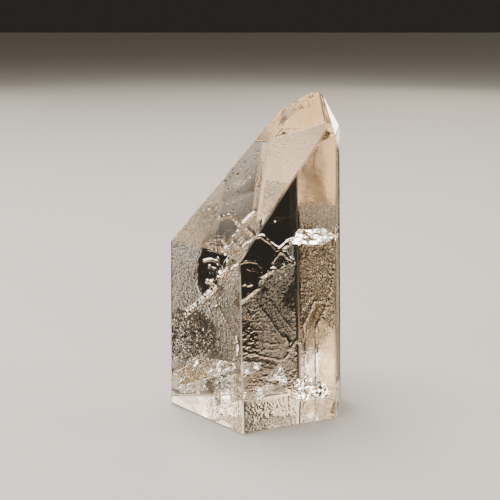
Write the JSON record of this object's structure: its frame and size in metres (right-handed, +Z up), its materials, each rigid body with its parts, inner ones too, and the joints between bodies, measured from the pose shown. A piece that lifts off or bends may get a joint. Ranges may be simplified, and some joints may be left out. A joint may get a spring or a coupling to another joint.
{
  "type": "polished quartz point",
  "caption": "Free-standing clear quartz crystal, ground to flat polished faces with an off-centre sloping tip and a flat sawn foot.",
  "frame": {"origin": "middle of the sawn foot's bounding box, on the surface that the point stands on", "axes": "+Z up along the crystal's length, +X across its width towards the upright right wall, -Y the front, where the edge between the two front walls stands"},
  "size_m": [0.0378, 0.0279, 0.0677],
  "materials": {
    "clear_quartz": "polished clear rock crystal with a faint warm tint, cracks and veils inside it in its lower two thirds"
  },
  "bodies": {
    "root": {"quartz_point": "clear_quartz"}
  },
  "joints": []
}
